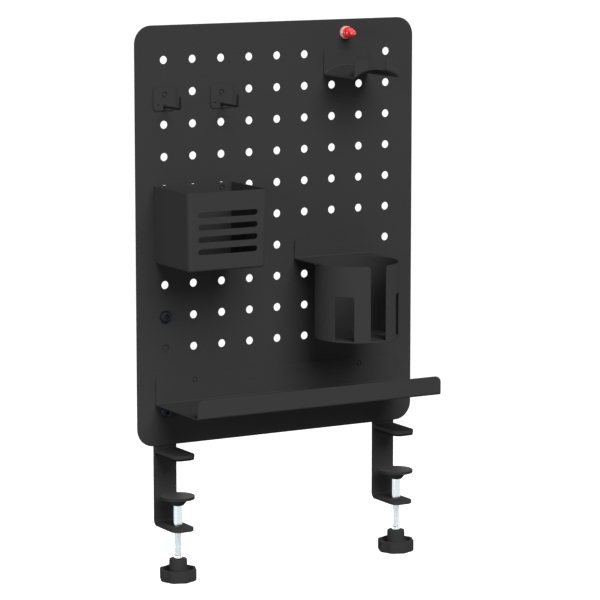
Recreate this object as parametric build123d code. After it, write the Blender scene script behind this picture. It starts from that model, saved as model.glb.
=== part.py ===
"""Desk-clamp pegboard organizer: a perforated steel panel on two screw clamps, with hang-on accessories.

Millimetres, +Z up. X runs along the desk edge, -Y points over the desk towards the user.
Origin: midway between the clamps, on the desk top (underside of the upper jaws) and on the
desk-edge plane (front face of the clamp bars, which is also the back face of the panel).
"""
from build123d import *
from math import cos, radians, sin, sqrt
import os

over = 1.0                  # a cutter runs this far past the face that it opens
near = 0.01                 # an edge this close to a level lies on it

# ---------------------------------------------------------------- panel and its hole grid
pitch = 35.0                # hole to hole, both ways
columns = 9
rows = 12
hole_d = 8.8
side_margin = 35.0          # edge column to the panel's side
end_margin = 37.5           # first and last row to the panel's ends
sheet = 1.5                 # steel sheet of the panel and of every hang-on piece
panel_corner_r = 20.0
panel_gap = 3.5             # panel's lower edge above the upper jaws

# ---------------------------------------------------------------- clamps
bar_w = 27.0
bar_t = 4.0
bar_top_above_screw = 18.0
bar_corner_r = 4.0
bend_r = 3.0                # inside radius of the bar's lower bend
jaw_reach = 49.0
jaw_corner_r = 9.0
pad_t = 2.0                 # rubber under the upper jaw
pad_inset = 0.3
throat = 76.0               # rubber's underside to the lower arm's top
arm_reach = 46.0
screw_reach = 28.0          # screw axis in front of the bar
clamp_open = 42.0           # largest desk thickness, as shown
clamp_travel = 30.0         # what the screw takes up

screw_d = 7.5               # clamp screw, outside its thread
thread_pitch = 1.25
running = 0.08              # radial clearance of a turning or sliding fit
seat_gap = 0.3              # gap left between moving faces that meet
sleeve_wall = 0.95
collar_t = 2.0              # flange of the screw on the knob
collar_over = 0.9

foot_r = 18.75
foot_rubber_t = 1.2
foot_plate_t = 2.3
foot_height = 10.5
foot_neck_r = 6.6
foot_cone_r = 12.0
foot_bore_depth = 7.0

knob_r = 20.75
knob_t = 13.5
knob_hub_r = 9.75
knob_hub_h = 11.0
knob_lobes = 8
knob_flute_r = 9.0
knob_flute_depth = 1.5
knob_edge = 1.2
knob_dish = 4.0             # ring-shaped hollow round the hub
knob_wall = 3.2
knob_bore_depth = 16.0

# ---------------------------------------------------------------- panel fasteners
bolt_d = 8.0
bolt_head_d = 14.0
bolt_head_h = 4.4
bolt_head_round_r = 3.1
bolt_hex = 5.0
bolt_hex_depth = 2.6
bolt_len = 16.0
bolt_rows = (9, 12)
washer_d = 16.0
washer_t = 1.6
nut_af = 13.0
nut_t = 6.5
fastener_play = 0.05        # radial, nut and washer on the bolt

# ---------------------------------------------------------------- hanging tongues
tongue_w = 6.0
tongue_drop = 6.2           # tongue's height behind the panel
tongue_play = 0.3           # behind the panel
rivet_r = 2.0               # head that shows where a tongue is riveted on
rivet_groove_r = 3.3        # ring-shaped groove round it
rivet_groove_depth = 1.0
top_over_row = 5.0          # a back plate's top edge above its row of tongues
plate_corner_r = 5.0
fold_r = 1.4                # inside radius of the cup bracket's and the headphone hook's folds

# ---------------------------------------------------------------- shelf tray
tray_w = 306.0
tray_depth = 99.5
tray_flange_h = 32.3
tray_lip_h = 21.2
tray_lip_corner_r = 7.0
tray_bend_r = 1.0
tray_row = 11
tray_columns = (2, 8)

# ---------------------------------------------------------------- pen box
box_w = 97.0
box_depth = 81.0
box_h = 85.0
box_corner_r = 5.0
box_floor_inset = 2.0       # each side this much narrower at the floor
box_bottom_r = 3.0
box_top_over_row = 4.0      # rim above its row of tongues
box_row = 5
box_columns = (1, 3)
slot_count = 4
slot_len = 72.0
slot_h = 6.3
slot_pitch = 13.2
slot_first_drop = 21.0      # rim to the top of the first slot

# ---------------------------------------------------------------- cup holder
cup_r = 47.0                # outside of the wall
cup_wall_h = 84.5           # rim to the underside of the base
cup_plate_w = 97.0
cup_shelf_drop = 16.5       # shelf's top below its row of tongues
cup_back_gap = 9.0          # wall to the panel
cup_shelf_short = 8.0       # the shelf's arms end this far behind the cup's axis
cup_row = 7
cup_columns = (6, 8)
cup_slot_half = 12.0        # degrees each side of the front
cup_window_mid = 48.5       # degrees from the front
cup_window_half = 13.75
cup_window_h = 49.5
cup_slot_flare_r = 4.0
cup_window_corner_r = 3.0

# ---------------------------------------------------------------- headphone hook
phone_w = 57.0
phone_reach = 68.0          # in front of the panel
phone_arch_r = 48.0
phone_edge_drop = 24.4      # underside of the arch's edges below the row of tongues
phone_lip_w = 17.5
phone_lip_top = 4.0         # lips' top edge below the row of tongues
phone_lip_corner_r = 3.0
phone_row = 1
phone_columns = (7, 8)

# ---------------------------------------------------------------- small hooks
hook_plate_w = 27.0
hook_plate_h = 25.5
hook_plate_corner_r = 4.0
hook_top_over_row = 6.1
hook_row = 2
hook_columns = (1, 3)
hook_wire_d = 2.6
hook_reach = 36.0
hook_rise = 13.0
hook_bend_r = 2.6
hook_root_up = 4.0          # wire axis above the plate's lower edge
hook_tip_lean = 3.0         # degrees outwards
hook_pip_d = 1.8            # small hole in the lower left corner
hook_pip_in = 6.0

# ---------------------------------------------------------------- magnet push pin
pin_x = 87.0
pin_below_top = 15.0        # panel's top edge to the pin's axis
pin_len = 20.0
pin_base_r = 7.15
pin_base_t = 4.5
pin_base_side = 3.4         # upright side of the base, from the panel
pin_root_r = 6.2            # body where it leaves the base
pin_step_r = 5.6            # body where it steps in
pin_step_at = 12.0          # from the panel
pin_step = 0.5
pin_tip_r = 3.2
pin_tip_edge = 1.2          # rounding of the tip, as a chamfer
magnet_r = 5.0
magnet_t = 3.0
magnet_play = 0.05

# ---------------------------------------------------------------- places worked out from the above
jaw_top = pad_t + bar_t
panel_bottom = jaw_top + panel_gap
panel_w = (columns - 1) * pitch + 2 * side_margin
panel_h = (rows - 1) * pitch + 2 * end_margin
panel_top = panel_bottom + panel_h
panel_front = -sheet
plate_front = panel_front - sheet
clamp_x = (columns - 1) * pitch / 2
arm_top = -throat
arm_bottom = arm_top - bar_t
foot_top = -clamp_open
foot_bottom = foot_top - foot_height
sleeve_top = foot_bottom - seat_gap
sleeve_bore_r = screw_d / 2 + running
sleeve_r = sleeve_bore_r + sleeve_wall
knob_top = arm_bottom - clamp_travel - collar_t - seat_gap
SIDES = (("left", -1), ("right", 1))


def column_x(column):
    """X of a column of holes, counted from 1 at the left."""
    return (column - (columns + 1) / 2) * pitch


def row_z(row):
    """Z of a row of holes, counted from 1 at the top."""
    return panel_top - end_margin - (row - 1) * pitch


def slab(width, height, thickness, x, y_front, z_bottom):
    """Upright plate centred on x, from y_front back by thickness, standing on z_bottom."""
    return Pos(x, y_front + thickness / 2, z_bottom + height / 2) * Box(width, thickness, height)


def rounded(shape, axis, radius, keep):
    """Fillet the edges parallel to axis whose centre passes the test."""
    chosen = [e for e in shape.edges().filter_by(axis) if keep(e.center())]
    return fillet(chosen, radius)


def rod(radius, z_low, z_high, x, y):
    return Pos(x, y, (z_low + z_high) / 2) * Cylinder(radius, z_high - z_low)


def bore_y(radius, x, z, y_low, y_high):
    return Pos(x, (y_low + y_high) / 2, z) * Rot(90, 0, 0) * Cylinder(radius, y_high - y_low)


def hang(plate, columns_used, row, riveted=False):
    """Give a back plate a tongue at each column, through its hole and down behind the panel.

    A riveted tongue shows on the plate's front as a small round head in a ring-shaped groove.
    """
    leg_low = row_z(row) - sqrt((hole_d / 2) ** 2 - (tongue_w / 2) ** 2)
    leg_top = leg_low + sheet
    back = tongue_play + sheet
    for column in columns_used:
        x = column_x(column)
        through = slab(tongue_w, sheet, back - panel_front, x, panel_front, leg_low)
        drop = slab(tongue_w, tongue_drop, sheet, x, tongue_play, leg_top - tongue_drop)
        plate += through + drop
        if riveted:
            z = (leg_low + leg_top) / 2
            groove_end = plate_front + rivet_groove_depth
            groove = bore_y(rivet_groove_r, x, z, plate_front - over, groove_end)
            plate -= groove - bore_y(rivet_r, x, z, plate_front - over, groove_end)
    return plate


# ---------------------------------------------------------------- panel and clamps
def make_panel():
    panel = slab(panel_w, panel_h, sheet, 0, panel_front, panel_bottom)
    panel = rounded(panel, Axis.Y, panel_corner_r, lambda c: True)
    drill = bore_y(hole_d / 2, 0, 0, 2 * panel_front, sheet)
    holes = [Pos(column_x(c), 0, row_z(r)) * drill
             for c in range(1, columns + 1) for r in range(1, rows + 1)]
    return panel - holes


def make_bracket(x):
    """The C's back and lower arm, one bar bent forwards at the bottom."""
    top = row_z(bolt_rows[0]) + bar_top_above_screw
    back = slab(bar_w, top - arm_bottom, bar_t, x, 0, arm_bottom)
    arm = slab(bar_w, bar_t, arm_reach + bar_t, x, -arm_reach, arm_bottom)
    bar = back + arm
    bar = rounded(bar, Axis.X, bend_r + bar_t, lambda c: c.Y > bar_t / 2 and c.Z < arm_top)
    bar = rounded(bar, Axis.X, bend_r, lambda c: abs(c.Y) < near and abs(c.Z - arm_top) < near)
    bar = rounded(bar, Axis.Y, bar_corner_r, lambda c: c.Z > top - near)
    bar = rounded(bar, Axis.Z, jaw_corner_r, lambda c: c.Y < -arm_reach + near)
    bar -= rod(sleeve_r, arm_bottom - over, arm_top + over, x, -screw_reach)
    for row in bolt_rows:
        bar -= bore_y(hole_d / 2, x, row_z(row), -over, bar_t + over)
    return bar


def make_jaw(x, inset, z_low, thickness):
    """Flat upper jaw, or the rubber under it, which is inset all round."""
    reach = jaw_reach - inset
    jaw = slab(bar_w - 2 * inset, thickness, reach - inset, x, -reach, z_low)
    return rounded(jaw, Axis.Z, jaw_corner_r - inset, lambda c: c.Y < -reach + near)


def make_sleeve(x):
    sleeve = rod(sleeve_r, arm_bottom, sleeve_top, x, -screw_reach)
    return sleeve - rod(sleeve_bore_r, arm_bottom - over, sleeve_top + over, x, -screw_reach)


def make_foot(x):
    """Swivel foot: a flat plate on a cone, bored from below for the screw."""
    plate_top = foot_top - foot_rubber_t
    plate_low = plate_top - foot_plate_t
    foot = rod(foot_r, plate_low, plate_top, x, -screw_reach)
    cone_h = plate_low - foot_bottom
    cone_mid = (plate_low + foot_bottom) / 2
    foot += Pos(x, -screw_reach, cone_mid) * Cone(foot_neck_r, foot_cone_r, cone_h)
    return foot - rod(sleeve_bore_r, foot_bottom - over, foot_bottom + foot_bore_depth, x, -screw_reach)


def make_foot_rubber(x):
    rubber = rod(foot_r, foot_top - foot_rubber_t, foot_top, x, -screw_reach)
    return fillet(rubber.edges().group_by(Axis.Z)[-1], foot_rubber_t / 2)


def make_screw(x):
    screw_top = foot_bottom + foot_bore_depth - seat_gap
    screw = rod(screw_d / 2, knob_top - knob_bore_depth, screw_top, x, -screw_reach)
    return screw + rod(screw_d / 2 + collar_over, knob_top, knob_top + collar_t, x, -screw_reach)


def make_knob(x):
    """Fluted grip with a dished top round a hub."""
    grip_top = knob_top - knob_hub_h
    grip_low = grip_top - knob_t
    grip = Pos(0, 0, (grip_top + grip_low) / 2) * Cylinder(knob_r, knob_t)
    flute_at = knob_r + knob_flute_r - knob_flute_depth
    for i in range(knob_lobes):
        angle = radians(360 / knob_lobes * (i + 0.5))
        flute = rod(knob_flute_r, grip_low - over, grip_top + over, 0, 0)
        grip -= Pos(flute_at * cos(angle), flute_at * sin(angle), 0) * flute
    ends = grip.edges().group_by(Axis.Z)
    grip = chamfer(ends[-1] + ends[0], knob_edge)
    dish_r = knob_r - knob_flute_depth - knob_wall
    grip -= rod(dish_r, grip_top - knob_dish, grip_top + over, 0, 0)
    hub = rod(knob_hub_r, grip_top - knob_dish, knob_top, 0, 0)
    hub = chamfer(hub.edges().group_by(Axis.Z)[-1], knob_edge)
    knob = grip + hub
    knob -= rod(screw_d / 2, knob_top - knob_bore_depth, knob_top + over, 0, 0)
    return Pos(x, -screw_reach, 0) * knob


# ---------------------------------------------------------------- panel fasteners
def bolt_places():
    return [(side * clamp_x, row_z(row)) for _, side in SIDES for row in bolt_rows]


def make_bolt(x, z):
    """Button-head bolt from the front, with a hexagon socket."""
    head = bore_y(bolt_head_d / 2, x, z, panel_front - bolt_head_h, panel_front)
    head = fillet(head.edges().sort_by(Axis.Y)[0], bolt_head_round_r)
    socket = Plane((x, panel_front - bolt_head_h, z), z_dir=(0, -1, 0))
    hexagon = socket * RegularPolygon(bolt_hex / 2, 6, major_radius=False)
    head -= extrude(hexagon, -bolt_hex_depth)
    return head + bore_y(bolt_d / 2, x, z, panel_front, panel_front + bolt_len)


def make_washer(x, z):
    washer = bore_y(washer_d / 2, x, z, bar_t, bar_t + washer_t)
    return washer - bore_y(bolt_d / 2 + fastener_play, x, z, 0, bar_t + 2 * washer_t)


def make_nut(x, z):
    seat = bar_t + washer_t
    face = Plane((x, seat, z), x_dir=(1, 0, 0), z_dir=(0, 1, 0))
    nut = extrude(face * RegularPolygon(nut_af / 2, 6, major_radius=False), nut_t)
    return nut - bore_y(bolt_d / 2 + fastener_play, x, z, seat - over, seat + nut_t + over)


# ---------------------------------------------------------------- hang-on pieces
def make_tray():
    """Flange, floor and front lip in one bent sheet, open at both ends."""
    top = row_z(tray_row) + top_over_row
    floor = top - tray_flange_h
    front = panel_front - tray_depth
    route = FilletPolyline((panel_front - sheet / 2, top),
                           (panel_front - sheet / 2, floor + sheet / 2),
                           (front + sheet / 2, floor + sheet / 2),
                           (front + sheet / 2, floor + tray_lip_h),
                           radius=tray_bend_r + sheet / 2)
    section = Plane.YZ * trace(route, sheet)
    tray = extrude(section, tray_w / 2, both=True)
    high = lambda c: c.Z > floor + tray_bend_r + 2 * sheet
    tray = rounded(tray, Axis.Y, tray_lip_corner_r, lambda c: high(c) and c.Y < front + 2 * sheet)
    tray = rounded(tray, Axis.Y, plate_corner_r, lambda c: high(c) and c.Y > plate_front - near)
    return hang(tray, tray_columns, tray_row, riveted=True)


def box_section(width, depth, corner_r, z, back_y):
    """Outline of the pen box at one height: square at the back, round at the front corners."""
    outline = Pos(0, back_y - depth / 2) * Rectangle(width, depth)
    outline = fillet(outline.vertices().group_by(Axis.Y)[0], corner_r)
    return Pos(0, 0, z) * outline


def box_body(wall, z_low, z_high, inset_low, inset_high):
    """The box's outer block, or the block of its hollow where wall is more than 0."""
    sections = []
    for z, inset in ((z_low, inset_low), (z_high, inset_high)):
        width = box_w - 2 * inset - 2 * wall
        depth = box_depth - inset - 2 * wall
        sections.append(box_section(width, depth, box_corner_r - wall, z, panel_front - wall))
    return loft(sections, ruled=True)


def make_pen_box():
    middle = sum(column_x(c) for c in box_columns) / len(box_columns)
    rim = row_z(box_row) + box_top_over_row
    low = rim - box_h
    outer = box_body(0, low, rim, box_floor_inset, 0)
    outer = fillet(outer.edges().group_by(Axis.Z)[0], box_bottom_r)
    floor_inset = box_floor_inset * (1 - sheet / box_h)
    top_inset = -box_floor_inset * sheet / box_h
    hollow = box_body(sheet, low + sheet, rim + sheet, floor_inset, top_inset)
    hollow = fillet(hollow.edges().group_by(Axis.Z)[0], box_bottom_r - sheet)
    box = outer - hollow
    for i in range(slot_count):
        z = rim - slot_first_drop - slot_h / 2 - i * slot_pitch
        face = Plane((0, panel_front - box_depth - sheet, z), x_dir=(1, 0, 0), z_dir=(0, -1, 0))
        box -= extrude(face * SlotOverall(slot_len, slot_h), -(2 * sheet + box_floor_inset + over))
    return hang(Pos(middle, 0, 0) * box, box_columns, box_row, riveted=True)


def cup_place():
    """X and Y of the cup's axis, and the rim's Z."""
    x = sum(column_x(c) for c in cup_columns) / len(cup_columns)
    return x, panel_front - cup_back_gap - cup_r, row_z(cup_row) - cup_shelf_drop


def make_cup_bracket():
    """Back plate folded forwards into a shelf that is cut out round the wall."""
    x, y, rim = cup_place()
    top = row_z(cup_row) + top_over_row
    low = rim - sheet
    bracket = slab(cup_plate_w, top - low, sheet, x, plate_front, low)
    bracket = rounded(bracket, Axis.Y, plate_corner_r, lambda c: c.Z > top - near)
    shelf_front = y + cup_shelf_short
    bracket += slab(cup_plate_w, sheet, panel_front - shelf_front, x, shelf_front, low)
    bracket -= rod(cup_r, low - over, rim + over, x, y)
    inside = lambda c: abs(c.Y - plate_front) < near and abs(c.Z - rim) < near
    bracket = rounded(bracket, Axis.X, fold_r, inside)
    bracket = rounded(bracket, Axis.X, fold_r + sheet, lambda c: abs(c.Y - panel_front) < near and c.Z < rim)
    return hang(bracket, cup_columns, cup_row)


def wedge(x, y, z_low, z_high, middle, half, corner_r):
    """A window cutter: a flat-sided block as wide as the opening, with rounded upper corners."""
    width = 2 * cup_r * sin(radians(half))
    block = Pos(0, -cup_r, (z_low + z_high) / 2) * Box(width, cup_r, z_high - z_low)
    if corner_r > 0:
        block = rounded(block, Axis.Y, corner_r, lambda c: c.Z > z_high - near)
    return Pos(x, y, 0) * Rot(0, 0, middle) * block


def make_cup_wall():
    """Rolled wall, slit from rim to base at the front, with a window each side."""
    x, y, rim = cup_place()
    low = rim - cup_wall_h + sheet
    wall = rod(cup_r, low, rim, x, y) - rod(cup_r - sheet, low - over, rim + over, x, y)
    wall -= wedge(x, y, low - over, rim + over, 0, cup_slot_half, 0)
    slot_side = cup_r * sin(radians(cup_slot_half))
    flare_z = rim - cup_slot_flare_r
    for side in (-1, 1):
        wall -= wedge(x, y, low - over, low + cup_window_h, side * cup_window_mid,
                      cup_window_half, cup_window_corner_r)
        inner = x + side * (slot_side + cup_slot_flare_r / 2)
        corner = slab(cup_slot_flare_r, cup_slot_flare_r + over, cup_r, inner, y - cup_r - over, flare_z)
        round_x = x + side * (slot_side + cup_slot_flare_r)
        wall -= corner - bore_y(cup_slot_flare_r, round_x, flare_z, y - cup_r - 2 * over, y)
    return wall


def make_cup_base():
    x, y, rim = cup_place()
    low = rim - cup_wall_h
    return rod(cup_r, low, low + sheet, x, y)


def make_headphone_hook():
    """Back plate, arched shelf and two upturned lips in one bent sheet."""
    x = sum(column_x(c) for c in phone_columns) / len(phone_columns)
    row = row_z(phone_row)
    half = phone_w / 2
    edge_low = row - phone_edge_drop
    centre_z = edge_low - sqrt(phone_arch_r ** 2 - half ** 2)
    front = panel_front - phone_reach
    between_lips = phone_w - 2 * phone_lip_w
    block = slab(phone_w, phone_edge_drop + top_over_row, phone_reach, x, front, edge_low)
    arch = bore_y(phone_arch_r + sheet, x, centre_z, front - over, sheet)
    under = bore_y(phone_arch_r, x, centre_z, front - over, sheet)
    plate = slab(phone_w, phone_edge_drop + top_over_row, sheet, x, plate_front, edge_low)
    plate = rounded(plate, Axis.Y, plate_corner_r, lambda c: c.Z > row)
    lips = slab(phone_w, phone_edge_drop - phone_lip_top, sheet, x, front, edge_low)
    notch = slab(between_lips, phone_edge_drop, fold_r + 2 * sheet, x, front, edge_low)
    lips = rounded(lips - notch, Axis.Y, phone_lip_corner_r, lambda c: c.Z > row - phone_lip_top - near)
    hook = (block & arch) - notch + plate + lips - under
    for y, radius in ((plate_front, fold_r), (panel_front, fold_r + sheet),
                      (front + sheet, fold_r), (front, fold_r + sheet)):
        arcs = [e for e in hook.edges().filter_by(GeomType.CIRCLE)
                if e.length > phone_lip_w / 2 and abs(e.center().Y - y) < near]
        hook = fillet(arcs, radius)
    return hang(hook, phone_columns, phone_row)


def hook_plate_low():
    return row_z(hook_row) + hook_top_over_row - hook_plate_h


def make_hook_plate(column):
    x = column_x(column)
    low = hook_plate_low()
    plate = slab(hook_plate_w, hook_plate_h, sheet, x, plate_front, low)
    plate = rounded(plate, Axis.Y, hook_plate_corner_r, lambda c: True)
    pip_x = x - hook_plate_w / 2 + hook_pip_in
    plate -= bore_y(hook_pip_d / 2, pip_x, low + hook_pip_in, plate_front - over, panel_front + over)
    return hang(plate, (column,), hook_row, riveted=True)


def make_hook_arm(column):
    """Round wire: straight out of the plate, then bent up."""
    z = hook_plate_low() + hook_root_up
    tip = plate_front - hook_reach
    lean = hook_rise * sin(radians(hook_tip_lean))
    route = FilletPolyline((plate_front, z), (tip, z), (tip - lean, z + hook_rise), radius=hook_bend_r)
    path = Plane.YZ.offset(column_x(column)) * route
    section = Plane((column_x(column), plate_front, z), z_dir=(0, -1, 0)) * Circle(hook_wire_d / 2)
    return sweep(section, path)


def pin_profile():
    """Half outline of the push pin: distance from the axis against distance from the panel."""
    return [(0, 0), (pin_base_r, 0), (pin_base_r, pin_base_side), (pin_root_r, pin_base_t),
            (pin_step_r, pin_step_at), (pin_step_r - pin_step, pin_step_at + pin_step),
            (pin_tip_r + pin_tip_edge, pin_len - pin_tip_edge), (pin_tip_r, pin_len), (0, pin_len)]


def make_pin():
    """Turned push pin with a pocket for its magnet."""
    outline = make_face(Polyline(*pin_profile(), close=True))
    body = revolve(outline, Axis.Y)
    body -= Rot(90, 0, 0) * Cylinder(magnet_r + magnet_play, 2 * (magnet_t + magnet_play))
    return Pos(pin_x, panel_front, panel_top - pin_below_top) * Rot(180, 0, 0) * body


def make_magnet():
    z = panel_top - pin_below_top
    return bore_y(magnet_r, pin_x, z, panel_front - magnet_t, panel_front)


# ---------------------------------------------------------------- all nodes
parts = {"pegboard_panel": make_panel()}
for side_name, side in SIDES:
    cx = side * clamp_x
    parts["clamp_bracket_" + side_name] = make_bracket(cx)
    parts["upper_jaw_" + side_name] = make_jaw(cx, 0, pad_t, bar_t)
    parts["jaw_rubber_" + side_name] = make_jaw(cx, pad_inset, 0, pad_t)
    parts["threaded_sleeve_" + side_name] = make_sleeve(cx)
    parts["clamp_foot_" + side_name] = make_foot(cx)
    parts["foot_rubber_" + side_name] = make_foot_rubber(cx)
    parts["clamp_screw_" + side_name] = make_screw(cx)
    parts["clamp_knob_" + side_name] = make_knob(cx)
parts["panel_bolts"] = Compound([make_bolt(*place) for place in bolt_places()])
parts["panel_washers"] = Compound([make_washer(*place) for place in bolt_places()])
parts["panel_nuts"] = Compound([make_nut(*place) for place in bolt_places()])
parts["shelf_tray"] = make_tray()
parts["pen_box"] = make_pen_box()
parts["cup_bracket"] = make_cup_bracket()
parts["cup_wall"] = make_cup_wall()
parts["cup_base"] = make_cup_base()
parts["headphone_hook"] = make_headphone_hook()
for (side_name, _), column in zip(SIDES, hook_columns):
    parts["hook_plate_" + side_name] = make_hook_plate(column)
    parts["hook_arm_" + side_name] = make_hook_arm(column)
parts["push_pin"] = make_pin()
parts["push_pin_magnet"] = make_magnet()

os.makedirs("parts", exist_ok=True)
for node, shape in parts.items():
    export_step(shape, "parts/" + node + ".step")
print(len(parts), "nodes; knob turns over the clamp's travel:", round(clamp_travel / thread_pitch, 2))
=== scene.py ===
"""Looks of the desk-clamp pegboard organizer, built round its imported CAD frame.

Metres, +Z up. X runs along the desk edge and -Y points over the desk towards the user. The desk top is the
plane Z = 0 and the panel's back is the plane Y = 0.
Sheet and bar steel keep their CAD shape and get broken edges and a finish. Turned, moulded and threaded
pieces and bent wire are modelled here in full, in millimetres, and replace their plain CAD nodes.
"""

from math import cos, pi, radians, sin, sqrt, tan, tau

import bmesh
import bpy
from mathutils import Matrix, Vector


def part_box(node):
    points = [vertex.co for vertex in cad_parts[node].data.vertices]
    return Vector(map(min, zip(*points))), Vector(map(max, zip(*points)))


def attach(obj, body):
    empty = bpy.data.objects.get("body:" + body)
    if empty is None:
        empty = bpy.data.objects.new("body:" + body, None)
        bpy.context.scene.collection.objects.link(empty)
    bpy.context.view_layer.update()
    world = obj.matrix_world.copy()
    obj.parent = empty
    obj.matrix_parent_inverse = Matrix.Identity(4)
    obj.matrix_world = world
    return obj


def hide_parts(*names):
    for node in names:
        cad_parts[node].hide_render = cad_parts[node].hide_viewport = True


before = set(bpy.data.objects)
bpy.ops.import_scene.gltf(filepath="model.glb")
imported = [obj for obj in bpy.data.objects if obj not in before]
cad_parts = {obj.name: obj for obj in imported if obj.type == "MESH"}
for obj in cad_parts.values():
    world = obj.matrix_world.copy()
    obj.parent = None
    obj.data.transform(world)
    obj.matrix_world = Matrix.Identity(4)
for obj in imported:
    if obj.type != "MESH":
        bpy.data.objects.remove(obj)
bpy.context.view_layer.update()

MM = 0.001
SIDES = ("left", "right")

# ---------------------------------------------------------------- camera, solved from the panel's hole grid
CAMERA_PLACE = (-1.6167, -2.8776, 0.6683)
CAMERA_DOWN = 8.76          # degrees below the horizon
CAMERA_AROUND = -29.78      # degrees from +Y
CAMERA_LENS = 179.94
CAMERA_SEES = 100           # metres
SENSOR = 36.0

# ---------------------------------------------------------------- fineness of the meshes
TINY = 1e-7                 # points this close, in metres, are one
ARC_STEP = radians(12)      # longest step of a rounded corner
SHARP = radians(32)         # edges that turn more than this stay sharp
ROUND_STEPS = 64            # steps round a turned piece
KNOB_STEPS = 192
BOLT_STEPS = 48
NUT_STEPS = 72
WIRE_STEPS = 24
WELD_STEPS = 32
THREAD_STEPS = 28
TIP_RINGS = 5               # rings of a wire's round end
CHAMFER_RINGS = 4           # steps up a nut's chamfer

# ---------------------------------------------------------------- sheet and bar steel, in millimetres
SHEET_EDGE = 0.22           # width of the broken edges
BAR_EDGE = 0.45
EDGE_STEPS = 2
WELD_WITHIN = 0.002         # points of a CAD node this close are joined
FLAT_WITHIN = radians(0.5)  # faces of a CAD node this near to one plane are joined

# ---------------------------------------------------------------- clamps, in millimetres
EDGE = 0.3                  # usual rounding of a turned edge
SCREW_R = 3.75              # outside the thread, and of the tail and its bore in the knob
SCREW_END = 0.5
THREAD_PITCH = 1.25
THREAD_DEPTH = 0.42
THREAD_SPARE = 1.5          # turns past each end, pressed flat against it
# share of the pitch, share of the depth
THREAD_FORM = ((0.00, 0.0), (0.12, 0.0), (0.38, 1.0), (0.62, 1.0), (0.88, 0.0))
COLLAR_T = 2.0
NECK_H = 1.2                # plain neck above the collar
NECK_CONE_H = 0.4           # its cone down to the thread's root
SLEEVE_WALL = 0.95

FOOT_PLATE_T = 2.3
FOOT_CONE_R = 12.0
FOOT_NECK_R = 6.6
FOOT_BORE_R = 3.83
FOOT_BORE_DEPTH = 7.0
PAD_JOINT_IN = 1.8          # joint that shows as a dark line between the foot and its rubber
PAD_JOINT_H = 0.6
PAD_RIM = 1.6               # rim outside the ring groove in the rubber's face
PAD_GROOVE_W = 1.0
PAD_GROOVE_DEPTH = 0.25
PAD_GROOVE_SLOPE = 0.2

GRIP_R = 20.75
GRIP_CHAMFER_W = 1.7
GRIP_CHAMFER_H = 1.3
GRIP_LOW_FOLLOWS = 3.0      # the underside and the top follow the flutes this far in
GRIP_TOP_FOLLOWS = 2.0
HUB_R = 9.75
HUB_H = 11.0
HUB_FLARE = 0.5
HUB_BORE_DEPTH = 3.0
FLUTES = 8
FLUTE_R = 30.0
FLUTE_DEPTH = 1.4
FLUTE_SOFT = 0.9            # the flutes' edges are rounded within this depth
DISH_R = 16.9               # ring-shaped hollow round the hub
DISH_LAND = 0.7             # flat ring round the hollow
DISH_DEPTH = 4.0
DISH_SLOPE = 1.2
BASE_R = 8.0                # shallow hollow under the knob
BASE_DEPTH = 0.6

# ---------------------------------------------------------------- panel fasteners, in millimetres
HEAD_R = 7.0
HEAD_H = 4.4
HEAD_SIDE = 0.9
HEAD_SHOULDER_R = 5.9
HEAD_SHOULDER_DROP = 1.0
HEAD_FLAT_R = 4.0
SOCKET = 5.0                # across flats
SOCKET_RIM_R = 3.3
SOCKET_CHAMFER = 0.5        # added across the flats
SOCKET_CHAMFER_H = 0.3
SOCKET_DEPTH = 2.6
DRILL_POINT = 0.7
BOLT_R = 4.0
BOLT_LEN = 16.0
BOLT_CHAMFER = 0.7
FASTENER_BORE_R = 4.05
WASHER_R = 8.0
WASHER_T = 1.6
WASHER_EDGE = 0.25
NUT_ACROSS = 13.0
NUT_T = 6.5
NUT_CHAMFER = 0.9           # how far the corners are cut back
NUT_CHAMFER_H = NUT_CHAMFER * 0.58      # at about 30 degrees
NUT_BORE_CHAMFER = 0.5

# ---------------------------------------------------------------- small hooks, in millimetres
WIRE_R = 1.3
HOOK_REACH = 36.0
HOOK_RISE = 13.0
HOOK_BEND_R = 3.4
HOOK_LEAN = radians(3.0)
HOOK_TIP_SHORT = 0.6        # share of the wire's radius that the rise leaves to the round end
# radius beyond the wire's, distance from the plate, rounding
WELD_BEAD = ((1.0, 0, 0), (0.75, 0.45, 0.3), (0.1, 1.1, 0.3), (-0.3, 1.2, 0))

# ---------------------------------------------------------------- magnet push pin, in millimetres
PIN_BASE_SIDE = 3.4         # where the base's side ends
# radius, distance from the panel, rounding
PIN_BODY = ((6.3, 4.5, 0.4), (6.0, 7.6, 0.3), (5.5, 8.1, 0.3), (5.5, 9.0, 0.3), (5.9, 9.5, 0.3),
            (5.5, 12.0, 0.4), (4.9, 12.6, 0.3), (3.7, 17.6, 1.6))
PIN_TIP_R = 2.1
PIN_TIP_EDGE = 1.2
PIN_RED = (0.95, 0.030, 0.024)
# pale pink painted on the base: a painted highlight for light through the thin base and the white it
# reflects
PIN_PAINTED_HIGHLIGHT = (1.0, 0.60, 0.57)
PIN_RED_AT = -8.0           # Y up to which the pin is full red
PIN_HIGHLIGHT_AT = -4.2          # Y from which it is painted pale near the panel, a painted highlight
MAGNET_PLAY = 0.05
MAGNET_EDGE = 0.25

# ---------------------------------------------------------------- floor and light, in metres and watts
FLOOR_DROP = 0.72           # desk top to floor
FLOOR_HALF = 40
FLOOR_GREY = 0.3
FLOOR_GLOW = 0.86
FLOOR_ROUGH = 0.9
FILL_LEVEL = 0.12
AIM_AT = (0, 0, 0.2)        # near the panel's middle
KEY_FROM = (-0.05, -2.3, 2.2)       # the key light comes from the front and above
KEY_SPREAD = 44             # degrees, which softens the shadows
KEY_STRENGTH = 3.1
BOX_SIZE = 1.6
# name, place, power of each soft box
SOFT_BOXES = (("left", (-3.4, -1.0, 0.6), 48),
              ("right", (3.4, -0.6, 0.8), 20),
              ("back", (0.8, 3.2, 1.6), 110))


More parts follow.
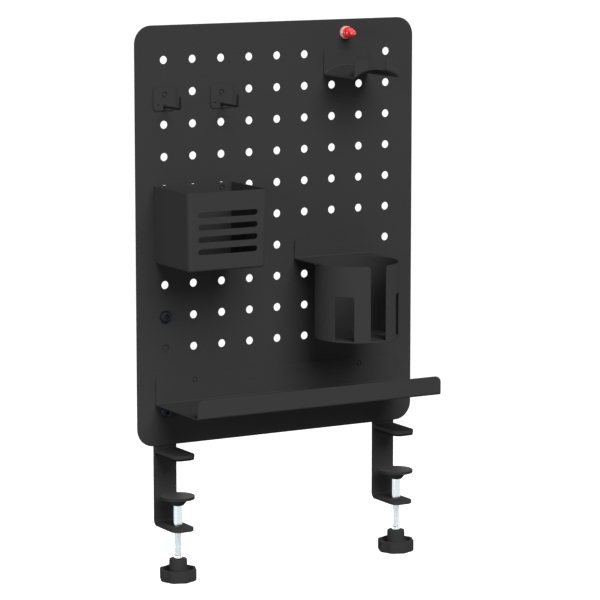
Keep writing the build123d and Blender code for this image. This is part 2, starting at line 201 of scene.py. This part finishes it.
# ================================================================ meshes
def outline(corners, closed=False):
    """Points of a line through corners (u, v, radius), where a corner with a radius is drawn as an arc."""
    points = []
    count = len(corners)
    for i, (u, v, radius) in enumerate(corners):
        here = Vector((u, v))
        if radius == 0 or (not closed and i in (0, count - 1)):
            points.append(here)
            continue
        before = (Vector(corners[i - 1][:2]) - here).normalized()
        after = (Vector(corners[(i + 1) % count][:2]) - here).normalized()
        half = before.angle(after) / 2
        centre = here + (before + after).normalized() * (radius / sin(half))
        first = here + before * (radius / tan(half)) - centre
        turn = pi - 2 * half
        if before.cross(after) > 0:
            turn = -turn
        steps = max(2, round(abs(turn) / ARC_STEP))
        for k in range(steps + 1):
            angle = turn * k / steps
            swung = Vector((first.x * cos(angle) - first.y * sin(angle),
                            first.x * sin(angle) + first.y * cos(angle)))
            points.append(centre + swung)
    return points


def turned(profile, steps=ROUND_STEPS, loop=False):
    """Mesh of rings round Z, each given as (radius, height) in mm.

    A radius may be a function of the angle. A ring of radius 0 is a point on the axis. With loop, the last
    ring joins the first, as in a tube.
    """
    mesh = bmesh.new()
    rings = []
    for radius, height in profile:
        if not callable(radius) and radius < TINY:
            rings.append([mesh.verts.new((0, 0, height * MM))])
            continue
        ring = []
        for k in range(steps):
            angle = tau * k / steps
            r = (radius(angle) if callable(radius) else radius) * MM
            ring.append(mesh.verts.new((r * cos(angle), r * sin(angle), height * MM)))
        rings.append(ring)
    pairs = list(zip(rings, rings[1:]))
    if loop:
        pairs.append((rings[-1], rings[0]))
    for lower, upper in pairs:
        for k in range(steps):
            n = (k + 1) % steps
            if len(lower) == 1 and len(upper) == 1:
                continue
            if len(lower) == 1:
                mesh.faces.new((lower[0], upper[n], upper[k]))
            elif len(upper) == 1:
                mesh.faces.new((lower[k], lower[n], upper[0]))
            else:
                mesh.faces.new((lower[k], lower[n], upper[n], upper[k]))
    return mesh


def place(mesh, at, turn=None):
    """Turn a mesh about the origin, then move it to a point in metres."""
    if turn:
        bmesh.ops.transform(mesh, matrix=turn, verts=mesh.verts)
    bmesh.ops.translate(mesh, vec=Vector(at), verts=mesh.verts)
    return mesh


def add_mesh(mesh, other):
    """Join a second mesh into a first."""
    data = bpy.data.meshes.new("joined")
    other.to_mesh(data)
    other.free()
    mesh.from_mesh(data)
    bpy.data.meshes.remove(data)


def piece(name, mesh, body, slot, material, *stands_for):
    """Finish a mesh as an object that rides on a body and stands for its CAD nodes."""
    bmesh.ops.remove_doubles(mesh, verts=mesh.verts, dist=TINY)
    bmesh.ops.recalc_face_normals(mesh, faces=mesh.faces)
    data = bpy.data.meshes.new(name)
    mesh.to_mesh(data)
    mesh.free()
    data.shade_smooth()
    data.set_sharp_from_angle(angle=SHARP)
    data.materials.append(material)
    made = bpy.data.objects.new(name, data)
    bpy.context.scene.collection.objects.link(made)
    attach(made, body)
    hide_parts(*stands_for)


def middle(node):
    """Centre of a node's box, and its lowest and highest corner, in metres."""
    low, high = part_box(node)
    return (low + high) / 2, low, high


# ================================================================ materials
class Shader:
    """A material with a Principled shader, and short ways to add nodes to it."""

    def __init__(self, name, colour, roughness, metallic=0.0, specular=0.5):
        self.material = bpy.data.materials.new(name)
        self.material.use_nodes = True
        self.tree = self.material.node_tree
        self.surface = self.tree.nodes["Principled BSDF"]
        self.set("Base Color", (*colour, 1))
        self.set("Roughness", roughness)
        self.set("Metallic", metallic)
        self.set("Specular IOR Level", specular)
        self.where = self.node("ShaderNodeTexCoord").outputs["Object"]

    def node(self, kind, **inputs):
        made = self.tree.nodes.new(kind)
        for key, value in inputs.items():
            made.inputs[key.replace("_", " ")].default_value = value
        return made

    def set(self, socket, value):
        self.surface.inputs[socket].default_value = value

    def join(self, output, socket):
        self.tree.links.new(output, socket)

    def noise(self, scale, detail):
        made = self.node("ShaderNodeTexNoise", Scale=scale, Detail=detail)
        self.join(self.where, made.inputs["Vector"])
        return made.outputs["Fac"]

    def patches(self, scale, low, high):
        """Let the roughness wander between low and high."""
        made = self.node("ShaderNodeMapRange", To_Min=low, To_Max=high)
        self.join(self.noise(scale, detail=2.0), made.inputs["Value"])
        self.join(made.outputs["Result"], self.surface.inputs["Roughness"])

    def grain(self, scale, detail, strength, depth):
        """Bump the surface with noise up to a depth in mm."""
        made = self.node("ShaderNodeBump", Strength=strength, Distance=depth * MM)
        self.join(self.noise(scale, detail), made.inputs["Height"])
        self.join(made.outputs["Normal"], self.surface.inputs["Normal"])


def powder_coat():
    """Matt black polyester powder: a fine grain over slow waves."""
    coat = Shader("powder_coat", (0.0405, 0.0405, 0.0407), roughness=0.66, specular=0.0)
    coat.patches(scale=60, low=0.60, high=0.72)
    coat.grain(scale=1500, detail=3.0, strength=0.25, depth=0.12)
    return coat.material


def wire_coat_painted_shade():
    """The same powder on round wire, with painted shade: its colour is far darker than the panel's,
    standing in for the shade on the thin arms.
    """
    # painted shade: base colour about a quarter of the panel powder's
    coat = Shader("wire_coat_painted_shade", (0.011, 0.011, 0.0112), roughness=0.50, specular=0.05)
    coat.grain(scale=1500, detail=3.0, strength=0.15, depth=0.1)
    return coat.material


def chrome():
    shiny = Shader("chrome", (0.66, 0.72, 0.74), roughness=0.16, metallic=1.0)
    shiny.patches(scale=180, low=0.12, high=0.22)
    return shiny.material


def zinc():
    plated = Shader("zinc_plate", (0.62, 0.64, 0.66), roughness=0.34, metallic=1.0)
    plated.patches(scale=220, low=0.26, high=0.42)
    return plated.material


def black_oxide():
    return Shader("black_oxide", (0.010, 0.014, 0.018), roughness=0.40, specular=0.08).material


def moulded_plastic():
    """Injection-moulded black plastic with a light spark-eroded grain."""
    plastic = Shader("moulded_plastic", (0.036, 0.036, 0.036), roughness=0.55, specular=0.0)
    plastic.grain(scale=1900, detail=2.0, strength=0.12, depth=0.1)
    return plastic.material


def jaw_rubber():
    rubber = Shader("jaw_rubber", (0.006, 0.006, 0.006), roughness=0.85, specular=0.02)
    rubber.grain(scale=1100, detail=3.0, strength=0.2, depth=0.1)
    return rubber.material


def foot_rubber():
    """Grey rubber of the feet, dusted by the desk."""
    rubber = Shader("foot_rubber", (0.052, 0.052, 0.051), roughness=0.85, specular=0.03)
    rubber.patches(scale=90, low=0.72, high=0.88)
    rubber.grain(scale=1100, detail=3.0, strength=0.2, depth=0.1)
    return rubber.material


def red_plastic():
    """Clear red styrene: light spreads inside it, and its base near the panel is painted paler than its
    body, a painted highlight.
    """
    red = Shader("red_plastic", PIN_RED, roughness=0.12, specular=0.8)
    # painted highlight: by its Y, the colour turns from red to pale pink towards the panel
    apart = red.node("ShaderNodeSeparateXYZ")
    red.join(red.where, apart.inputs["Vector"])
    depth = red.node("ShaderNodeMapRange", From_Min=PIN_RED_AT * MM, From_Max=PIN_HIGHLIGHT_AT * MM)
    red.join(apart.outputs["Y"], depth.inputs["Value"])
    ramp = red.node("ShaderNodeValToRGB")
    ramp.color_ramp.elements[0].color = (*PIN_RED, 1)
    ramp.color_ramp.elements[1].color = (*PIN_PAINTED_HIGHLIGHT, 1)
    red.join(depth.outputs["Result"], ramp.inputs["Fac"])
    red.join(ramp.outputs["Color"], red.surface.inputs["Base Color"])
    red.set("Transmission Weight", 0.10)
    red.set("IOR", 1.50)
    red.set("Subsurface Weight", 0.45)
    red.set("Subsurface Radius", (1.0, 0.25, 0.2))
    red.set("Subsurface Scale", 3.0 * MM)
    return red.material


def magnet_nickel():
    return Shader("magnet_nickel", (0.66, 0.63, 0.58), roughness=0.22, metallic=1.0).material


POWDER = powder_coat()
WIRE = wire_coat_painted_shade()
CHROME = chrome()
ZINC = zinc()
OXIDE = black_oxide()
PLASTIC = moulded_plastic()
JAW_RUBBER = jaw_rubber()
FOOT_RUBBER = foot_rubber()
RED = red_plastic()
NICKEL = magnet_nickel()


# ================================================================ sheet and bar steel, from the CAD
def dress(node, material, edge):
    """Keep a CAD node's shape, break its edges and give it its finish."""
    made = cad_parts[node]
    made.data.materials.clear()
    made.data.materials.append(material)
    weld = made.modifiers.new("weld", "WELD")
    weld.merge_threshold = WELD_WITHIN * MM
    flat = made.modifiers.new("flat", "DECIMATE")
    flat.decimate_type = "DISSOLVE"
    flat.angle_limit = FLAT_WITHIN
    bevel = made.modifiers.new("edges", "BEVEL")
    bevel.width = edge * MM
    bevel.segments = EDGE_STEPS
    bevel.limit_method = "ANGLE"
    bevel.angle_limit = SHARP
    bevel.use_clamp_overlap = False
    bevel.harden_normals = False
    normals = made.modifiers.new("normals", "WEIGHTED_NORMAL")
    normals.keep_sharp = True


for sheet_node in ("pegboard_panel", "shelf_tray", "pen_box", "cup_bracket", "cup_wall", "cup_base",
                   "headphone_hook", "hook_plate_left", "hook_plate_right"):
    dress(sheet_node, POWDER, SHEET_EDGE)
for side in SIDES:
    dress("clamp_bracket_" + side, POWDER, BAR_EDGE)
    dress("upper_jaw_" + side, POWDER, BAR_EDGE)
    dress("jaw_rubber_" + side, JAW_RUBBER, BAR_EDGE)


# ================================================================ clamps
def thread(z_low, z_high):
    """Helical thread between two heights, in mm, which fades out at both ends."""
    root = SCREW_R - THREAD_DEPTH
    turns = int((z_high - z_low) / THREAD_PITCH + 2 * THREAD_SPARE)
    mesh = bmesh.new()
    grid = []
    for step in range(turns * THREAD_STEPS + 1):
        angle = tau * step / THREAD_STEPS
        base = z_low - THREAD_SPARE * THREAD_PITCH + THREAD_PITCH * step / THREAD_STEPS
        row = []
        for share, crest in THREAD_FORM:
            z = base + share * THREAD_PITCH
            fade = min(1, max(0, (z - z_low) / THREAD_PITCH), max(0, (z_high - z) / THREAD_PITCH))
            z = min(z_high, max(z_low, z))
            r = root + THREAD_DEPTH * crest * fade
            row.append(mesh.verts.new((r * cos(angle) * MM, r * sin(angle) * MM, z * MM)))
        grid.append(row)
    last = len(THREAD_FORM)
    for step in range(len(grid) - 1):
        here, there = grid[step], grid[step + 1]
        for k in range(last):
            if k + 1 < last:
                corners = (here[k], there[k], there[k + 1], here[k + 1])
            elif step + THREAD_STEPS + 1 < len(grid):
                up, over = grid[step + THREAD_STEPS], grid[step + THREAD_STEPS + 1]
                corners = (here[k], there[k], over[0], up[0])
            else:
                continue
            mesh.faces.new(corners)
    return mesh


def make_screw(side):
    """Clamp screw: plain tail inside the knob, collar on the knob's top, thread above."""
    node = "clamp_screw_" + side
    centre, low, high = middle(node)
    z_low, z_high = low.z / MM, high.z / MM
    collar_r = (high.x - low.x) / 2 / MM
    collar_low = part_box("clamp_knob_" + side)[1].z / MM
    collar_top = collar_low + COLLAR_T
    neck_top = collar_top + NECK_H
    root_low = neck_top + NECK_CONE_H
    mesh = turned(outline([(0, z_low, 0), (SCREW_R, z_low, SCREW_END), (SCREW_R, collar_low, 0),
                           (collar_r, collar_low, EDGE), (collar_r, collar_top, SCREW_END),
                           (SCREW_R, collar_top, EDGE), (SCREW_R, neck_top, EDGE),
                           (SCREW_R - THREAD_DEPTH, root_low, 0), (0, root_low, 0)]))
    add_mesh(mesh, thread(neck_top + NECK_CONE_H / 2, z_high))
    place(mesh, (centre.x, centre.y, 0))
    piece("screw_" + side, mesh, node, "bright_steel", CHROME, node)


def make_sleeve(side):
    """Sleeve that stands on the lower arm and carries the screw's inner thread."""
    node = "threaded_sleeve_" + side
    centre, low, high = middle(node)
    outer = (high.x - low.x) / 2 / MM
    bore = outer - SLEEVE_WALL
    z_low, z_high = low.z / MM, high.z / MM
    ring = outline([(bore, z_low, 0), (outer, z_low, 0), (outer, z_high, 0.35), (bore, z_high, 0.25)],
                   closed=True)
    mesh = place(turned(ring, loop=True), (centre.x, centre.y, 0))
    piece("sleeve_" + side, mesh, "panel", "bright_steel", CHROME, node)


def make_foot(side):
    """Swivel foot: a round plate on a cone, bored for the screw's end."""
    node = "clamp_foot_" + side
    centre, low, high = middle(node)
    plate_r = (high.x - low.x) / 2 / MM
    top, bottom = high.z / MM, low.z / MM
    plate_low = top - FOOT_PLATE_T
    bore_top = bottom + FOOT_BORE_DEPTH
    profile = outline([(0, top, 0), (plate_r, top, EDGE), (plate_r, plate_low, 0.7),
                       (FOOT_CONE_R, plate_low, 1.2), (FOOT_NECK_R, bottom, 0.6),
                       (FOOT_BORE_R, bottom, EDGE), (FOOT_BORE_R, bore_top, 0), (0, bore_top, 0)])
    mesh = place(turned(profile), (centre.x, centre.y, 0))
    piece("foot_" + side, mesh, node, "black_plastic", PLASTIC, node)


def make_foot_rubber(side):
    """Round pad on the foot, undercut at the joint, with a shallow ring groove in its face."""
    node = "foot_rubber_" + side
    centre, low, high = middle(node)
    radius = (high.x - low.x) / 2 / MM
    top, bottom = high.z / MM, low.z / MM
    joint_r = radius - PAD_JOINT_IN
    joint_top = bottom + PAD_JOINT_H
    groove_r = radius - PAD_RIM
    groove_low = top - PAD_GROOVE_DEPTH
    profile = outline([(0, bottom, 0), (joint_r, bottom, 0), (joint_r, joint_top, 0),
                       (radius, joint_top, 0.1), (radius, top, EDGE), (groove_r, top, 0.15),
                       (groove_r - PAD_GROOVE_SLOPE, groove_low, 0.1),
                       (groove_r - PAD_GROOVE_W + PAD_GROOVE_SLOPE, groove_low, 0.1),
                       (groove_r - PAD_GROOVE_W, top, 0.1), (0, top, 0)])
    mesh = place(turned(profile), (centre.x, centre.y, 0))
    piece("foot_pad_" + side, mesh, "clamp_foot_" + side, "rubber", FOOT_RUBBER, node)


def fluted(inset):
    """Radius of the knob's fluted grip by angle, this much inside its outline."""
    reach = GRIP_R + FLUTE_R - FLUTE_DEPTH

    def radius(angle):
        off = ((angle / tau * FLUTES) % 1 - 0.5) * tau / FLUTES
        across = reach * sin(off)
        if abs(across) >= FLUTE_R:
            return GRIP_R - inset
        flute = reach * cos(off) - sqrt(FLUTE_R ** 2 - across ** 2)
        near = max(0, FLUTE_SOFT - abs(flute - GRIP_R)) / FLUTE_SOFT
        return min(flute, GRIP_R) - near * near * FLUTE_SOFT / 4 - inset
    return radius


def make_knob(side):
    """Fluted grip, dished round a hub."""
    node = "clamp_knob_" + side
    centre, low, high = middle(node)
    top, bottom = high.z / MM, low.z / MM
    grip_top = top - HUB_H
    dish_low = grip_top - DISH_DEPTH
    bore_low = top - HUB_BORE_DEPTH
    edge = outline([(GRIP_LOW_FOLLOWS, bottom, 0), (GRIP_CHAMFER_W, bottom, 0.5),
                    (0, bottom + GRIP_CHAMFER_H, 0.8), (0, grip_top, 0.9), (GRIP_TOP_FOLLOWS, grip_top, 0)])
    rings = [(0, bottom + BASE_DEPTH), (BASE_R, bottom + BASE_DEPTH), (BASE_R + BASE_DEPTH, bottom)]
    rings += [(fluted(inset), z) for inset, z in edge]
    rings += outline([(DISH_R + DISH_LAND, grip_top, 0), (DISH_R, grip_top, 0.5),
                      (DISH_R - DISH_SLOPE, dish_low, 1.4), (HUB_R + HUB_FLARE, dish_low, 1.2),
                      (HUB_R, top, 1.0), (SCREW_R, top, 0), (SCREW_R, bore_low, 0), (0, bore_low, 0)])
    mesh = place(turned(rings, steps=KNOB_STEPS), (centre.x, centre.y, 0))
    piece("knob_" + side, mesh, "clamp_screw_" + side, "black_plastic", PLASTIC, node)


for side in SIDES:
    make_screw(side)
    make_sleeve(side)
    make_foot(side)
    make_foot_rubber(side)
    make_knob(side)


# ================================================================ panel fasteners
FACE_FRONT = Matrix.Rotation(radians(90), 4, "X")      # the turned piece's +Z points to -Y
FACE_BACK = Matrix.Rotation(radians(-90), 4, "X")      # the turned piece's +Z points to +Y


def hexagon(across_flats, largest=None):
    """Radius of a hexagon by angle, cut off at a largest radius where one is given."""
    def radius(angle):
        off = (angle / tau * 6) % 1 - 0.5
        r = across_flats / 2 / cos(off * tau / 6)
        return r if largest is None else min(r, largest)
    return radius


def make_bolt(number, x, z, front):
    """Button head with a hexagon socket, and its shank."""
    socket_low = HEAD_H - SOCKET_DEPTH
    rings = [(0, -BOLT_LEN), (BOLT_R - BOLT_CHAMFER, -BOLT_LEN), (BOLT_R, BOLT_CHAMFER - BOLT_LEN),
             (BOLT_R, 0)]
    rings += outline([(HEAD_R, 0, 0), (HEAD_R, HEAD_SIDE, 0.4),
                      (HEAD_SHOULDER_R, HEAD_H - HEAD_SHOULDER_DROP, 3.0), (HEAD_FLAT_R, HEAD_H, 0.9),
                      (SOCKET_RIM_R, HEAD_H, 0)])
    rings += [(hexagon(SOCKET + SOCKET_CHAMFER), HEAD_H), (hexagon(SOCKET), HEAD_H - SOCKET_CHAMFER_H),
              (hexagon(SOCKET), socket_low), (0, socket_low - DRILL_POINT)]
    mesh = place(turned(rings, steps=BOLT_STEPS), (x, front, z), FACE_FRONT)
    piece("bolt_%d" % number, mesh, "panel", "black_bolt", OXIDE, "panel_bolts")


def make_washer(number, x, z, back):
    ring = outline([(FASTENER_BORE_R, 0, 0), (WASHER_R, 0, WASHER_EDGE), (WASHER_R, WASHER_T, WASHER_EDGE),
                    (FASTENER_BORE_R, WASHER_T, 0.15)], closed=True)
    mesh = place(turned(ring, loop=True), (x, back, z), FACE_BACK)
    piece("washer_%d" % number, mesh, "panel", "zinc", ZINC, "panel_washers")


def make_nut(number, x, z, back):
    """Hexagon nut, chamfered at both ends."""
    corner_r = NUT_ACROSS / 2 / cos(pi / 6)
    mouth_r = FASTENER_BORE_R + NUT_BORE_CHAMFER
    shares = [k / CHAMFER_RINGS for k in range(CHAMFER_RINGS + 1)]

    def cut_back(share):
        return hexagon(NUT_ACROSS, corner_r - NUT_CHAMFER * share)

    rings = [(mouth_r, 0)]
    rings += [(cut_back(1 - share), NUT_CHAMFER_H * share) for share in shares]
    rings += [(cut_back(share), NUT_T - NUT_CHAMFER_H * (1 - share)) for share in shares]
    rings += [(mouth_r, NUT_T), (FASTENER_BORE_R, NUT_T - NUT_BORE_CHAMFER),
              (FASTENER_BORE_R, NUT_BORE_CHAMFER)]
    mesh = place(turned(rings, steps=NUT_STEPS, loop=True), (x, back, z), FACE_BACK)
    piece("nut_%d" % number, mesh, "panel", "zinc", ZINC, "panel_nuts")


def make_fasteners():
    """A bolt, washer and nut at each corner of the bolts' box."""
    low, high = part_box("panel_bolts")
    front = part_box("pegboard_panel")[0].y
    washer_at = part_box("panel_washers")[0].y
    nut_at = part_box("panel_nuts")[0].y
    inwards = HEAD_R * MM
    number = 0
    for x in (low.x + inwards, high.x - inwards):
        for z in (low.z + inwards, high.z - inwards):
            number += 1
            make_bolt(number, x, z, front)
            make_washer(number, x, z, washer_at)
            make_nut(number, x, z, nut_at)


make_fasteners()


# ================================================================ small hooks
def wire(points):
    """Round wire along points (y, z) in mm, with a round far end."""
    mesh = bmesh.new()
    rings = []
    last = len(points) - 1
    for i, point in enumerate(points):
        along = (points[min(last, i + 1)] - points[max(0, i - 1)]).normalized()
        across = Vector((-along.y, along.x))
        rings.append((point, across, WIRE_R))
    for k in range(1, TIP_RINGS + 1):
        swing = pi / 2 * k / (TIP_RINGS + 1)
        rings.append((points[-1] + along * WIRE_R * sin(swing), across, WIRE_R * cos(swing)))
    loops = []
    for point, across, r in rings:
        loop = []
        for k in range(WIRE_STEPS):
            angle = tau * k / WIRE_STEPS
            offset = across * r * sin(angle)
            loop.append(mesh.verts.new((r * cos(angle) * MM, (point.x + offset.x) * MM,
                                        (point.y + offset.y) * MM)))
        loops.append(loop)
    for lower, upper in zip(loops, loops[1:]):
        for k in range(WIRE_STEPS):
            n = (k + 1) % WIRE_STEPS
            mesh.faces.new((lower[k], lower[n], upper[n], upper[k]))
    mesh.faces.new(loops[0])
    mesh.faces.new(loops[-1])
    return mesh


def make_hook_arm(side):
    """Bent wire with a rounded tip, and the weld that holds it to its plate."""
    node = "hook_arm_" + side
    centre, low, high = middle(node)
    root_y, root_z = high.y / MM, low.z / MM + WIRE_R
    tip_y = root_y - HOOK_REACH
    rise = HOOK_RISE - WIRE_R * HOOK_TIP_SHORT
    path = outline([(root_y, root_z, 0), (tip_y, root_z, HOOK_BEND_R),
                    (tip_y - rise * sin(HOOK_LEAN), root_z + rise, 0)])
    arm = place(wire(path), (centre.x, 0, 0))
    bead = [(WIRE_R + out, up, edge) for out, up, edge in WELD_BEAD]
    bead_top = WELD_BEAD[-1][1]
    weld = turned(outline([(0, 0, 0), *bead, (0, bead_top, 0)]), steps=WELD_STEPS)
    add_mesh(arm, place(weld, (centre.x, high.y, root_z * MM), FACE_FRONT))
    piece("hook_wire_" + side, arm, "small_hook_" + side, "powder_steel", WIRE, node)


for side in SIDES:
    make_hook_arm(side)


# ================================================================ magnet push pin
def make_pin():
    """Turned push pin: base, ringed body and domed tip, hollow for its magnet."""
    centre, low, high = middle("push_pin")
    _, magnet_low, magnet_high = middle("push_pin_magnet")
    base_r = (high.x - low.x) / 2 / MM
    length = (high.y - low.y) / MM
    hollow_r = (magnet_high.x - magnet_low.x) / 2 / MM + MAGNET_PLAY
    hollow_t = (magnet_high.y - magnet_low.y) / MM + MAGNET_PLAY
    profile = outline([(0, hollow_t, 0), (hollow_r, hollow_t, 0), (hollow_r, 0, 0), (base_r, 0, 0.5),
                       (base_r, PIN_BASE_SIDE, 1.0), *PIN_BODY, (PIN_TIP_R, length, PIN_TIP_EDGE),
                       (0, length, 0)])
    mesh = place(turned(profile), (centre.x, high.y, centre.z), FACE_FRONT)
    piece("pin_body", mesh, "push_pin", "red_plastic", RED, "push_pin")


def make_magnet():
    centre, low, high = middle("push_pin_magnet")
    radius = (high.x - low.x) / 2 / MM
    thick = (high.y - low.y) / MM
    profile = outline([(0, 0, 0), (radius, 0, MAGNET_EDGE), (radius, thick, MAGNET_EDGE), (0, thick, 0)])
    mesh = place(turned(profile), (centre.x, high.y, centre.z), FACE_FRONT)
    piece("pin_magnet", mesh, "push_pin", "magnet", NICKEL, "push_pin_magnet")


make_pin()
make_magnet()


# ================================================================ floor, light and camera
def white_rays(tree):
    """1 for camera, glossy and transmission rays, 0 for the rest."""
    path = tree.nodes.new("ShaderNodeLightPath")
    total = path.outputs["Is Camera Ray"]
    for name in ("Is Glossy Ray", "Is Transmission Ray"):
        both = tree.nodes.new("ShaderNodeMath")
        both.operation = "MAXIMUM"
        tree.links.new(total, both.inputs[0])
        tree.links.new(path.outputs[name], both.inputs[1])
        total = both.outputs[0]
    return total


def strength(tree, unseen, seen):
    """A strength for light that is lower where it only lights than where it is seen."""
    level = tree.nodes.new("ShaderNodeMapRange")
    level.inputs["To Min"].default_value = unseen
    level.inputs["To Max"].default_value = seen
    tree.links.new(white_rays(tree), level.inputs["Value"])
    return level.outputs["Result"]


def make_world():
    """Even pale surroundings: white where they are seen, dimmer as a light."""
    world = bpy.data.worlds.new("studio")
    bpy.context.scene.world = world
    world.use_nodes = True
    tree = world.node_tree
    background = tree.nodes["Background"]
    background.inputs["Color"].default_value = (1, 1, 1, 1)
    tree.links.new(strength(tree, FILL_LEVEL, 1.0), background.inputs["Strength"])


def make_floor():
    """Pale floor that reads as white and still takes the object's shadow."""
    paint = Shader("floor_paint", (FLOOR_GREY, FLOOR_GREY, FLOOR_GREY), FLOOR_ROUGH, specular=0.0)
    paint.set("Emission Color", (1, 1, 1, 1))
    paint.join(strength(paint.tree, 0.0, FLOOR_GLOW), paint.surface.inputs["Emission Strength"])
    mesh = bmesh.new()
    bmesh.ops.create_grid(mesh, x_segments=1, y_segments=1, size=FLOOR_HALF)
    data = bpy.data.meshes.new("floor")
    mesh.to_mesh(data)
    mesh.free()
    data.materials.append(paint.material)
    floor = bpy.data.objects.new("floor", data)
    floor.location = (0, 0, -FLOOR_DROP)
    bpy.context.scene.collection.objects.link(floor)


def aim(name, lamp, at):
    """Put a lamp at a place, turned to the point that every lamp is aimed at."""
    made = bpy.data.objects.new(name, lamp)
    made.location = at
    made.rotation_euler = (Vector(AIM_AT) - Vector(at)).to_track_quat("-Z", "Y").to_euler()
    bpy.context.scene.collection.objects.link(made)


def make_key():
    """Far soft light, even over the floor."""
    sun = bpy.data.lights.new("key", "SUN")
    sun.energy = KEY_STRENGTH
    sun.angle = radians(KEY_SPREAD)
    aim("key", sun, KEY_FROM)


def make_soft_box(name, at, power):
    lamp = bpy.data.lights.new(name, "AREA")
    lamp.size = BOX_SIZE
    lamp.energy = power
    aim(name, lamp, at)


def make_camera():
    lens = bpy.data.cameras.new("camera")
    lens.lens = CAMERA_LENS
    lens.sensor_width = SENSOR
    lens.clip_end = CAMERA_SEES
    camera = bpy.data.objects.new("camera", lens)
    camera.location = CAMERA_PLACE
    camera.rotation_euler = (radians(90 - CAMERA_DOWN), 0, radians(CAMERA_AROUND))
    bpy.context.scene.collection.objects.link(camera)
    bpy.context.scene.camera = camera


make_world()
make_floor()
make_key()
for box_name, box_at, box_power in SOFT_BOXES:
    make_soft_box(box_name, box_at, box_power)
make_camera()
bpy.context.scene.view_settings.view_transform = "Standard"
